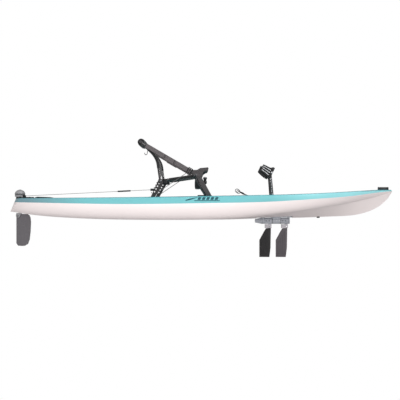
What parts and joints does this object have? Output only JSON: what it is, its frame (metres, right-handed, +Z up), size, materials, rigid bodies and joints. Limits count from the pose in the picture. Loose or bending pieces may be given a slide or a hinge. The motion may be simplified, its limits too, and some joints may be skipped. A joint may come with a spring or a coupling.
{
  "type": "pedal boat",
  "caption": "Slender sit-on board hull with a raised reclining mesh seat, swinging foot cranks that drive flapping fins below, and a kick-up stern rudder.",
  "frame": {"origin": "centre of the keel line at mid length, on the lowest point of the hull bottom", "axes": "+X towards the bow, +Y to port, +Z up"},
  "size_m": [3.3415, 0.9134, 1.028],
  "materials": {
    "hull_white": "satin moulded polyethylene",
    "deck_blue": "satin moulded polyethylene, pale blue",
    "black_plastic": "moulded black plastic",
    "grey_plastic": "moulded mid grey plastic",
    "fin_black": "flexible moulded fin",
    "rudder_grey": "moulded dark grey nylon",
    "drive_grey": "moulded blue grey housing",
    "root_grey": "moulded pale grey",
    "stainless": "stainless steel",
    "black_tube": "black anodised tube",
    "bronze_grey": "warm grey finish",
    "webbing": "woven warm grey webbing",
    "seat_mesh": "woven dark mesh",
    "pad_black": "padded black cloth",
    "line_dark": "braided line"
  },
  "bodies": {
    "hull": {"hull_shell": "hull_white", "deck_shell": "deck_blue", "drive_well": "hull_white", "scupper_tubes": "hull_white", "rudder_tube": "black_plastic", "stern_plate": "black_plastic", "stern_handle": "black_plastic", "bow_handle": "black_plastic", "seat_sockets": "black_plastic", "pull_ferrules": "black_plastic", "steering_base": "black_plastic", "drain_plug": "black_plastic", "drive_spine": "drive_grey", "drum_shaft": "stainless", "drive_housing": "drive_grey", "crank_shaft": "stainless", "drive_pins": "stainless", "pan_frame": "black_tube", "pan_mesh": "seat_mesh", "rear_legs": "black_tube", "front_legs": "bronze_grey", "front_braces": "black_tube", "hinge_brackets": "black_plastic", "seat_pins": "stainless", "strap_buckles": "black_plastic", "recline_straps": "webbing", "seat_stays": "webbing", "seat_pouch": "pad_black", "rudder_line": "line_dark", "line_sleeve": "black_plastic", "line_fairlead": "black_plastic", "line_cleat": "black_plastic"},
    "rudder_post": {"rudder_stock": "stainless", "rudder_head": "grey_plastic", "rudder_pin": "stainless"},
    "rudder": {"rudder_blade": "rudder_grey"},
    "seat_back": {"back_frame": "black_tube", "back_mesh": "seat_mesh", "back_roll": "pad_black", "rod_hook": "stainless"},
    "right_crank": {"right_crank_arm": "black_tube"},
    "left_crank": {"left_crank_arm": "black_tube"},
    "right_pedal": {"right_pedal": "black_plastic", "right_pedal_strap": "line_dark"},
    "left_pedal": {"left_pedal": "black_plastic", "left_pedal_strap": "line_dark"},
    "rear_drum": {"rear_fin_drum": "drive_grey"},
    "rear_root": {"rear_fin_root": "root_grey", "rear_fin_pin": "stainless"},
    "rear_fin": {"rear_fin_mast": "stainless", "rear_fin_blade": "fin_black"},
    "front_drum": {"front_fin_drum": "drive_grey"},
    "front_root": {"front_fin_root": "root_grey", "front_fin_pin": "stainless"},
    "front_fin": {"front_fin_mast": "stainless", "front_fin_blade": "fin_black"},
    "forward_pull": {"forward_pull": "black_plastic"},
    "reverse_pull": {"reverse_pull": "black_plastic"},
    "steering": {"steering_lever": "black_tube", "steering_knob": "black_plastic"}
  },
  "joints": [
    {"name": "rudder_steer", "type": "hinge", "parent": "hull", "child": "rudder_post", "pos_m": [-1.597, 0, 0.1], "axis": [0, 0, 1], "range_deg": [-40, 40]},
    {"name": "rudder_kick", "type": "hinge", "parent": "rudder_post", "child": "rudder", "pos_m": [-1.614, 0, 0.034], "axis": [0, 1, 0], "range_deg": [0, 85]},
    {"name": "steering_turn", "type": "hinge", "parent": "hull", "child": "steering", "pos_m": [-0.025, 0.33, 0.21], "axis": [0, 0, 1], "range_deg": [-40, 40]},
    {"name": "seat_fold", "type": "hinge", "parent": "hull", "child": "seat_back", "pos_m": [-0.343, 0, 0.334], "axis": [0, 1, 0], "range_deg": [0, 70], "deforming": ["recline_straps"]},
    {"name": "right_crank_swing", "type": "hinge", "parent": "hull", "child": "right_crank", "pos_m": [0.626, 0, 0.095], "axis": [0, 1, 0], "range_deg": [-30, 30]},
    {"name": "left_crank_swing", "type": "hinge", "parent": "hull", "child": "left_crank", "pos_m": [0.626, 0, 0.095], "axis": [0, 1, 0], "range_deg": [-30, 30]},
    {"name": "right_pedal_turn", "type": "hinge", "parent": "right_crank", "child": "right_pedal", "pos_m": [0.6, -0.1, 0.405], "axis": [0, 1, 0], "continuous": true},
    {"name": "left_pedal_turn", "type": "hinge", "parent": "left_crank", "child": "left_pedal", "pos_m": [0.6, 0.1, 0.405], "axis": [0, 1, 0], "continuous": true},
    {"name": "rear_fin_sweep", "type": "hinge", "parent": "hull", "child": "rear_drum", "pos_m": [0.601, 0, -0.01], "axis": [1, 0, 0], "range_deg": [-75, 75]},
    {"name": "front_fin_sweep", "type": "hinge", "parent": "hull", "child": "front_drum", "pos_m": [0.745, 0, -0.01], "axis": [1, 0, 0], "range_deg": [-75, 75]},
    {"name": "rear_fin_reverse", "type": "hinge", "parent": "rear_drum", "child": "rear_root", "pos_m": [0.601, 0, -0.04], "axis": [0, 0, 1], "range_deg": [0, 180]},
    {"name": "front_fin_reverse", "type": "hinge", "parent": "front_drum", "child": "front_root", "pos_m": [0.745, 0, -0.04], "axis": [0, 0, 1], "range_deg": [0, 180]},
    {"name": "rear_fin_kick", "type": "hinge", "parent": "rear_root", "child": "rear_fin", "pos_m": [0.601, 0, -0.062], "axis": [0, 1, 0], "range_deg": [0, 40]},
    {"name": "front_fin_kick", "type": "hinge", "parent": "front_root", "child": "front_fin", "pos_m": [0.745, 0, -0.062], "axis": [0, 1, 0], "range_deg": [0, 40]},
    {"name": "forward_pull_slide", "type": "slide", "parent": "hull", "child": "forward_pull", "axis": [-0.9205, 0, 0.3907], "range_m": [-0.02, 0]},
    {"name": "reverse_pull_slide", "type": "slide", "parent": "hull", "child": "reverse_pull", "axis": [-0.9205, 0, 0.3907], "range_m": [0, 0.02]}
  ],
  "couplings": [
    {"joint": "steering_turn", "follows": "rudder_steer", "ratio": 1},
    {"joint": "left_crank_swing", "follows": "right_crank_swing", "ratio": -1},
    {"joint": "rear_fin_sweep", "follows": "right_crank_swing", "ratio": 2.5},
    {"joint": "front_fin_sweep", "follows": "right_crank_swing", "ratio": -2.5},
    {"joint": "front_fin_reverse", "follows": "rear_fin_reverse", "ratio": 1},
    {"joint": "forward_pull_slide", "follows": "rear_fin_reverse", "m_per_rad": -0.0063662},
    {"joint": "reverse_pull_slide", "follows": "rear_fin_reverse", "m_per_rad": 0.0063662},
    {"joint": "front_fin_kick", "follows": "rear_fin_kick", "ratio": 1}
  ]
}
